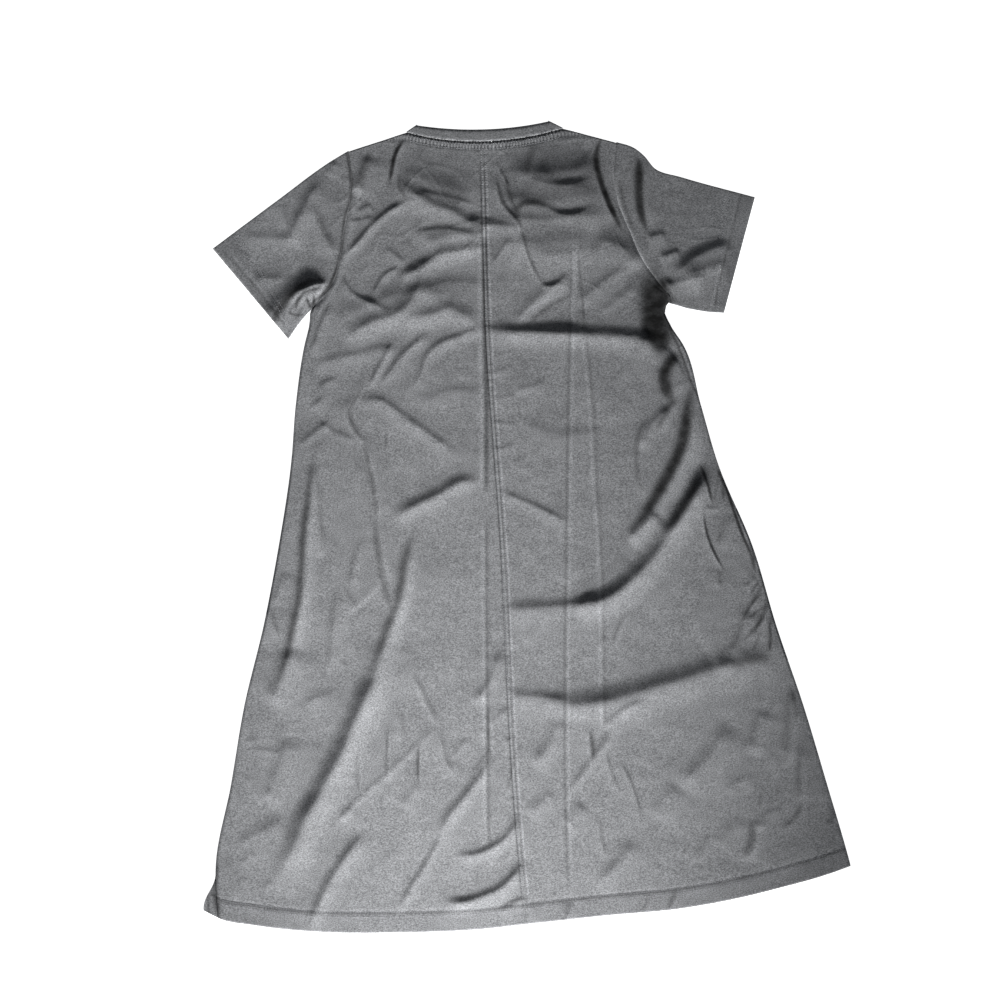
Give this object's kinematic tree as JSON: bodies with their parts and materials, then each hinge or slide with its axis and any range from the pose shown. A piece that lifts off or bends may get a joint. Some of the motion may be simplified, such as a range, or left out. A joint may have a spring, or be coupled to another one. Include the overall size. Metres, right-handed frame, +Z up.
{
  "type": "t-shirt dress",
  "caption": "Knee-length A-line T-shirt dress in plain jersey, laid flat with its back up: short sleeves, banded round neck, centre-back seam, side pockets and hem vents.",
  "frame": {"origin": "on the surface that the dress lies on, under the middle of its bounding box", "axes": "+Z up, away from that surface, on the side of the dress's back; +Y from the hem to the neck; +X to the right of someone who looks down at the back"},
  "size_m": [0.8088, 1.0148, 0.0172],
  "materials": {
    "jersey": "matte grey cotton jersey with a faint melange"
  },
  "bodies": {
    "root": {"back_left": "jersey", "back_right": "jersey", "front": "jersey", "sleeve_left": "jersey", "sleeve_right": "jersey", "neckband": "jersey", "pocket_bag_left": "jersey", "pocket_bag_right": "jersey"}
  },
  "joints": []
}
